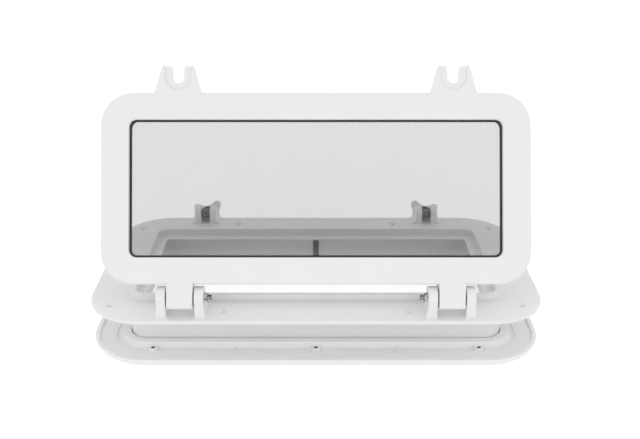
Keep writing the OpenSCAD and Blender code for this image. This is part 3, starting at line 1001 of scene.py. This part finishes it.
@dataclass
class Sash(Assembly):
    """The sash moulding with its forks and knuckles, its pane, gasket, bead and seal."""

    edge: float = 0.0006
    light: Outline = Outline(0.3445, 0.127, 0.007, 0.1007)
    rebate: float = 0.005
    lip: float = 0.0018
    lip_top: float = 0.005
    pane_top: float = 0.0032
    pane_low: float = -0.0008
    pane_edge: float = 0.0035
    bead_low: float = -0.008
    bead_inset: float = 0.001
    skirt: Outline = Outline(0.3625, 0.1545, 0.01675, 0.0988)
    seal_top: float = -0.008
    seal_low: float = -0.0103
    seal_face: float = 0.0008
    seal_shelf: float = -0.0034
    plastic: Finish = MouldedAbs()
    rubber: Finish = BlackRubber()
    acrylic: Finish = SmokedAcrylic()

    def lay(self, skin: Skin, name: str, finish: Finish, node: str, sharp: float = DRAWN_SHARP) -> None:
        """Lays a skin where the sash rests, and settles it on the sash."""
        self.settle(skin.piece(name, joint_place("sash_hinge"), sharp), "sash", finish, node)

    def moulding(self) -> None:
        """Rounds the edges of the sash."""
        self.settle(softened("sash_frame", "sash_moulding", self.edge), "sash", self.plastic, "sash_frame")

    def pane(self) -> None:
        """Makes the pane a plate with polished, chamfered edges."""
        cut = 0.0004
        edge, top, low = self.pane_edge, self.pane_top, self.pane_low
        rows = self.light.rows(((edge - cut, low), (edge, low + cut), (edge, top - cut), (edge - cut, top)))
        self.lay(Skin().capped(rows), "acrylic_pane", self.acrylic, "glass_pane", sharp=20.0)

    def gasket(self) -> None:
        """Carries the gasket's section around the opening: a channel with a round lip over the pane."""
        soft, cut = 0.0009, 0.0003
        crown = arc((-self.lip + soft, self.lip_top - soft), soft, 190, 75, 6)
        section = path(
            (self.rebate, self.pane_low), (self.rebate, self.lip_top - cut), (self.rebate - cut, self.lip_top),
            (0.0, self.lip_top), crown[::-1], (-self.lip + cut, self.pane_top),
            (self.pane_edge, self.pane_top), (self.pane_edge, self.pane_low),
        )
        self.lay(Skin().lofted(self.light.rows(section)), "gasket_rubber", self.rubber, "glazing_gasket")

    def bead(self) -> None:
        """Carries the bead's section around the opening: a flat bar with its visible edges rounded."""
        soft = 0.0006
        inner, outer, low, high = self.bead_inset, self.rebate, self.bead_low, self.pane_low
        section = path(
            (outer, high), (outer, low), arc((inner + soft, low + soft), soft, 270, 180, 4),
            arc((inner + soft, high - soft), soft, 180, 90, 4),
        )
        self.lay(Skin().lofted(self.light.rows(section)), "bead_moulding", self.plastic, "glazing_bead")

    def seal(self) -> None:
        """Lofts the seal from the opening's outline to its own outer one, with a round bulb at the rim."""
        bulb = (self.seal_top - self.seal_low) / 2
        face = self.seal_low + self.seal_face
        rim = path(arc((-bulb, self.seal_low + bulb), bulb, 90, -90, 8), (self.seal_shelf, face))
        hole = self.light.points(self.bead_inset)
        rows = [(hole, self.seal_top), *self.skirt.rows(rim), (hole, face)]
        self.lay(Skin().lofted(rows), "seal_rubber", self.rubber, "sash_seal")

    def build(self) -> None:
        """Makes every piece."""
        self.moulding()
        self.pane()
        self.gasket()
        self.bead()
        self.seal()


@dataclass
class Hinge(Assembly):
    """One hinge's bolt, with its socket head in the outer ear, and the nut on its inner end."""

    side: Side
    out_x: float = 0.1256
    rod_r: float = 0.0025
    half: float = 0.0219
    head_x: float = 0.0202
    head_r: float = 0.004
    head_t: float = 0.0024
    socket_r: float = 0.0021
    socket_mouth: float = 1.12
    socket_depth: float = 0.0014
    nut_r: float = 0.0047
    nut_t: float = 0.0034
    cone_share: float = 0.87
    cone_rise: float = 1.7
    cone_rows: tuple[float, ...] = (0.0, 0.00012, 0.00025, 0.0004, 0.0006)
    tip: float = 0.0036
    pitch: float = 0.0008
    groove: float = 0.00035
    steel: Finish = TurnedStainless()

    def place(self) -> Matrix:
        """The middle of the hinge, on its axis."""
        _, y, z = joint_of("sash_hinge")["pos_m"]
        return Matrix.Translation((self.side.value * self.out_x, y, z))

    def bolt(self) -> None:
        """Turns the head with its socket, and carries the rod and its threaded end through the ears."""
        top = self.head_x + self.head_t
        soft, drill, overlap = 0.0005, 0.0004, 0.001
        head = path(
            (0.0, self.head_x), (self.head_r - soft, self.head_x), (self.head_r, self.head_x + soft),
            arc((self.head_r - soft, top - soft), soft, 0, 90, 4), (self.socket_r * self.socket_mouth, top),
        )
        angle = np.linspace(0.0, 2 * math.pi, 72, endpoint=False)
        socket = hexagon(angle, self.socket_r)[None, :] * np.array(((1.0,), (1.0,), (0.0,)))
        floor = top - self.socket_depth
        radius = np.vstack((head[:, :1] + 0.0 * angle, socket))
        height = np.concatenate((head[:, 1], (top - HAIR, floor, floor - drill)))
        root = top - 0.002
        shank = Skin().turned(path((0.0, -self.half), (self.rod_r, -self.half), (self.rod_r, root), (0.0, root)))
        low = -self.half - self.nut_t - self.tip
        end = Skin().thread(self.rod_r, self.groove, self.pitch, low, -self.half + overlap)
        skin = Skin().shaped(radius, height).join(shank).join(end).along_x().mirrored(self.side)
        bolt = skin.piece(f"hinge_bolt_turned_{self.side.word}", self.place())
        self.settle(bolt, "frame", self.steel, f"hinge_bolt_{self.side.word}")

    def nut(self) -> None:
        """Cuts a hexagon to a cone at both faces: r = the lower of the hexagon and the cone there."""
        thick, mouth = self.nut_t, 0.0004
        depth = np.array(self.cone_rows)
        levels = np.concatenate((depth, thick - depth[::-1]))
        angle = np.linspace(0.0, 2 * math.pi, 96, endpoint=False)
        cone = self.nut_r * self.cone_share + self.cone_rise * np.minimum(levels, thick - levels)
        body = np.minimum(hexagon(angle, self.nut_r)[None, :], cone[:, None])
        bore = self.rod_r + np.array((mouth, PLAY, PLAY, mouth))
        radius = np.vstack((body, bore[:, None] + 0.0 * angle))
        height = np.concatenate((levels, (thick, thick - mouth, mouth, 0.0))) - self.half - thick
        skin = Skin().shaped(radius, height, loop=True).along_x().mirrored(self.side)
        nut = skin.piece(f"hinge_nut_turned_{self.side.word}", self.place(), sharp=24.0)
        self.settle(nut, "frame", self.steel, f"hinge_nut_{self.side.word}")

    def build(self) -> None:
        """Makes every piece."""
        self.bolt()
        self.nut()


@dataclass
class SwingLock(Assembly):
    """One lock: its pin, eye bolt, washer, lobed knob and the knob's threaded insert."""

    side: Side
    pin_r: float = 0.0025
    pin_half: float = 0.0117
    eye_r: float = 0.0049
    eye_half: float = 0.0047
    bolt_r: float = 0.003
    groove: float = 0.00045
    pitch: float = 0.001
    plain: float = 0.009
    seat: float = 0.0199
    proud: float = 0.0094
    washer_t: float = 0.001
    collar_r: float = 0.010
    collar_h: float = 0.005
    insert_r: float = 0.0044
    insert_h: float = 0.009
    knurl_ridges: int = 15
    knurl_lead: int = 3
    knurl_cut: float = 0.0003
    knurl_crest: float = 0.00025
    knurl_fade: float = 0.001
    bore_r: float = 0.0033
    bore_h: float = 0.014
    knob_r: float = 0.0208
    lobe_r: float = 0.0042
    hollow_r: float = 0.0118
    hollow_cut: float = 0.015
    head_h: float = 0.012
    head_dome: float = 0.0008
    knob_turn: float = 34.6
    plastic: Finish = MouldedAbs()
    steel: Finish = BoltSteel()
    brass: Finish = TurnedBrass()

    def place(self) -> Matrix:
        """Lays what is drawn upright from the pivot back onto the rest."""
        return joint_place(f"bolt_{self.side.word}_swing")

    def pin(self) -> None:
        """Turns the pin, with chamfered ends."""
        cut = 0.0004
        half, radius = self.pin_half, self.pin_r
        profile = path(
            (0.0, -half), (radius - cut, -half), (radius, cut - half),
            (radius, half - cut), (radius - cut, half), (0.0, half),
        )
        pivot = Matrix.Translation(self.place().to_translation())
        pin = Skin().turned(profile).along_x().piece(f"lock_pin_turned_{self.side.word}", pivot, sharp=30.0)
        self.settle(pin, "frame", self.steel, f"lock_pin_{self.side.word}")

    def bolt(self) -> None:
        """Turns the eye about X, and carries a plain neck and a threaded shank up from it."""
        soft, clear, overlap = 0.0007, 0.0006, 0.001
        bore = self.pin_r + PLAY
        eye = path(
            (bore, -self.eye_half), arc((self.eye_r - soft, soft - self.eye_half), soft, -90, 0, 4),
            arc((self.eye_r - soft, self.eye_half - soft), soft, 0, 90, 4), (bore, self.eye_half),
        )
        ring = Skin().turned(eye, loop=True).along_x()
        root = self.pin_r + clear
        neck = path(
            (0.0, root), (self.bolt_r, root), (self.bolt_r, self.plain),
            (self.bolt_r - self.groove, self.plain + self.groove), (0.0, self.plain + self.groove),
        )
        end = self.seat + self.proud
        ring.join(Skin().turned(neck))
        ring.join(Skin().thread(self.bolt_r, self.groove, self.pitch, self.plain - overlap, end))
        bolt = ring.piece(f"eye_bolt_{self.side.word}", self.place())
        self.settle(bolt, f"bolt_{self.side.word}", self.steel, f"swing_bolt_{self.side.word}")

    def washer(self) -> None:
        """Turns the washer, with one rounded and one sharp face as it leaves the press."""
        soft = 0.0003
        low, high, bore, rim = self.seat - self.washer_t, self.seat, self.bolt_r + PLAY, self.collar_r
        profile = path(
            (bore, low), (rim - HAIR, low), (rim, low + HAIR),
            arc((rim - soft, high - soft), soft, 0, 90, 4), (bore + HAIR, high), (bore, high - HAIR),
        )
        skin = Skin().turned(profile, loop=True)
        washer = skin.piece(f"washer_pressed_{self.side.word}", self.place(), sharp=30.0)
        self.settle(washer, f"washer_{self.side.word}", self.steel, f"bolt_washer_{self.side.word}")

    def lobes(self, angle: np.ndarray) -> np.ndarray:
        """The head's outline: how far it reaches in each direction.

        A lobe's round end is met at d cos t + sqrt(r^2 - d^2 sin^2 t), for an end circle of radius r
        at distance d and an angle t from the lobe. Between the lobes, a hollow's circle is met at the
        lesser root of the same form. The outline is the greater of the two, and a short running mean
        lets one flow into the other.

        Args:
            angle: The directions in radians.

        Returns:
            The reach in each direction.
        """
        quarter = math.pi / 2
        lobe_at, hollow_at = self.knob_r - self.lobe_r, self.hollow_r + self.hollow_cut
        off = np.mod(angle + quarter / 2, quarter) - quarter / 2
        under = self.lobe_r**2 - (lobe_at * np.sin(off)) ** 2
        lobe = np.where(under > 0, lobe_at * np.cos(off) + np.sqrt(np.maximum(under, 0.0)), 0.0)
        off = np.mod(angle, quarter) - quarter / 2
        under = np.maximum(self.hollow_cut**2 - (hollow_at * np.sin(off)) ** 2, 0.0)
        hollow = np.minimum(hollow_at * np.cos(off) - np.sqrt(under), lobe_at + self.lobe_r / 2)
        reach = np.maximum(lobe, hollow)
        return np.mean([np.roll(reach, shift) for shift in range(-2, 3)], axis=0)

    def knob(self) -> None:
        """Draws the knob in rows from its bore to its crown: r = base + share * the lobes' outline."""
        angle = np.linspace(0.0, 2 * math.pi, 192, endpoint=False)
        reach = self.lobes(angle)
        top = self.collar_h + self.head_h
        chamfer, root, low, high = 0.0005, 0.0006, 0.0017, 0.0032
        bore = path(
            (0.0, self.bore_h), (self.bore_r, self.bore_h), (self.bore_r, self.insert_h),
            (self.insert_r, self.insert_h), (self.insert_r, 0.0), (self.collar_r - chamfer, 0.0),
            (self.collar_r, chamfer), (self.collar_r, self.collar_h - root),
            arc((self.collar_r + root, self.collar_h - root), root, 180, 90, 3),
        )
        under = arc((-low, self.collar_h + low), low, 270, 360, 6)
        over = arc((-high, top - high), high, 0, 84, 10)
        fade = np.linspace(1.0, 0.0, 14)[1:]
        crown_r = over[-1, 0] * fade
        crown_h = over[-1, 1] + (top + self.head_dome - over[-1, 1]) * (1 - fade**2)
        base = np.concatenate((bore[:, 0], under[:, 0], over[:, 0], crown_r))
        share = np.concatenate((np.zeros(len(bore)), np.ones(len(under) + len(over)), fade))
        height = np.concatenate((bore[:, 1], under[:, 1], over[:, 1], crown_h)) + self.seat
        radius = base[:, None] + share[:, None] * reach[None, :]
        turn = Matrix.Rotation(math.radians(-self.side.value * self.knob_turn), 4, "Z")
        skin = Skin().shaped(radius, height)
        knob = skin.piece(f"lobed_knob_{self.side.word}", self.place() @ turn, sharp=40.0)
        self.settle(knob, f"knob_{self.side.word}", self.plastic, f"lobe_knob_{self.side.word}")

    def insert(self) -> None:
        """Turns the insert, with a knurl of crossing grooves pressed into its outside."""
        angle = np.linspace(0.0, 2 * math.pi, 120, endpoint=False)
        height = np.linspace(0.0, self.insert_h, 25)
        lean = 2 * math.pi * height[:, None] / self.insert_h
        around, up = self.knurl_ridges * angle, self.knurl_lead * lean
        knurl = np.abs(np.sin(around + up)) * np.abs(np.sin(around - up))
        fade = np.clip(np.minimum(height, self.insert_h - height) / self.knurl_fade, 0.0, 1.0)[:, None]
        outside = self.insert_r - self.knurl_cut + self.knurl_crest * knurl * fade
        inside = np.full((2, len(angle)), self.bolt_r + PLAY)
        skin = Skin().shaped(
            np.vstack((outside, inside)), np.concatenate((height, (self.insert_h, 0.0))) + self.seat, loop=True,
        )
        insert = skin.piece(f"insert_knurled_{self.side.word}", self.place(), sharp=50.0)
        self.settle(insert, f"knob_{self.side.word}", self.brass, f"knob_insert_{self.side.word}")

    def build(self) -> None:
        """Makes every piece."""
        self.pin()
        self.bolt()
        self.washer()
        self.knob()
        self.insert()


@dataclass
class Studio:
    """The floor, the even surroundings, the soft lamps and the camera."""

    floor_half: float = 6.0
    floor_diffuse: Triple = (0.95, 0.95, 0.95)
    floor_glow: float = 0.42
    speck_scale: float = 30.0
    speck_share: float = 0.99
    surround: float = 0.90
    lamps: tuple[tuple[str, Triple, float], ...] = (
        ("key", (-0.9, -1.3, 1.9), 0.6), ("fill", (1.3, -0.9, 1.5), 0.4), ("front", (0.0, -1.9, 0.3), 3.2),
    )
    lamp_size: float = 1.2
    lamp_aim: Triple = (0.0, 0.0, 0.08)
    sensor: float = 36.0
    clip_start: float = 0.01
    lens: float = 46.63
    camera_place: Triple = (0.0, -0.7678, 0.4548)
    camera_pitch: float = 65.15
    camera_shift: float = 0.0064

    def camera(self) -> None:
        """Puts the camera where the photograph was taken."""
        data = bpy.data.cameras.new("view")
        data.sensor_width = self.sensor
        data.lens = self.lens
        data.shift_x = self.camera_shift
        data.clip_start = self.clip_start
        made = shown("view", data)
        made.location = self.camera_place
        made.rotation_euler = (math.radians(self.camera_pitch), 0.0, 0.0)
        bpy.context.scene.camera = made

    def floor(self) -> None:
        """Lays a white floor that shows white to the eye and still takes the object's shadow."""
        half = self.floor_half
        corners = [(-half, -half, 0.0), (half, -half, 0.0), (half, half, 0.0), (-half, half, 0.0)]
        mesh = bpy.data.meshes.new("floor")
        mesh.from_pydata(corners, [], [(0, 1, 2, 3)])
        made = shown("floor", mesh)
        material = bpy.data.materials.new("floor_white")
        material.use_nodes = True
        bench = ShaderBench(material.node_tree)
        seen = self.seen(bench)
        grey = tuple(self.speck_share * part for part in self.floor_diffuse)
        speck = bench.blend(bench.noise(self.speck_scale, 2.0), self.floor_diffuse, grey)
        matt = bench.node("ShaderNodeBsdfDiffuse", None, Color=speck)
        glow = bench.node("ShaderNodeEmission", None, Color=WHITE, Strength=seen * self.floor_glow)
        bench.finish(bench.node("ShaderNodeAddShader", None, matt, glow))
        mesh.materials.append(material)

    def seen(self, bench: ShaderBench) -> Field:
        """Tells what is seen from what lights the object.

        Args:
            bench: The bench that fills the node tree.

        Returns:
            1 for a ray from the camera, a reflection or a pane, and 0 for light on the object.
        """
        rays = bench.node("ShaderNodeLightPath").outputs
        kinds = ("Camera", "Glossy", "Transmission")
        camera, glossy, through = (Field(bench, rays[f"Is {kind} Ray"]) for kind in kinds)
        return (camera + glossy + through).at_most(1.0)

    def world(self) -> None:
        """Even light from all around, in front of plain white."""
        world = bpy.data.worlds.new("studio")
        world.use_nodes = True
        bpy.context.scene.world = world
        bench = ShaderBench(world.node_tree)
        strength = self.surround + (1.0 - self.surround) * self.seen(bench)
        light = bench.node("ShaderNodeBackground", None, Color=WHITE, Strength=strength)
        bench.finish(light, "ShaderNodeOutputWorld")

    def lamp(self, name: str, place: Sequence[float], power: float) -> None:
        """Hangs a square soft box that faces the window.

        Args:
            name: The lamp's name.
            place: Where it hangs.
            power: Its power in watts.
        """
        data = bpy.data.lights.new(name, "AREA")
        data.shape = "SQUARE"
        data.size = self.lamp_size
        data.energy = power
        made = shown(name, data)
        made.location = place
        made.rotation_euler = (Vector(self.lamp_aim) - Vector(place)).to_track_quat("-Z", "Y").to_euler()

    def build(self) -> None:
        """Sets up the camera, the stage and the light."""
        scene = bpy.context.scene
        scene.view_settings.view_transform = "Standard"
        self.camera()
        self.floor()
        self.world()
        for lamp in self.lamps:
            self.lamp(*lamp)
        log.info("studio: camera, floor, surroundings and %d lamps", len(self.lamps))


def main() -> None:
    """Builds the window's sub-assemblies and sets them on their stage."""
    Studio().build()
    assemblies = [MainFrame(), Sash(), *(Hinge(side) for side in Side), *(SwingLock(side) for side in Side)]
    for assembly in assemblies:
        assembly.build()
        log.info("%s is built", type(assembly).__name__)


if __name__ == "__main__":
    main()
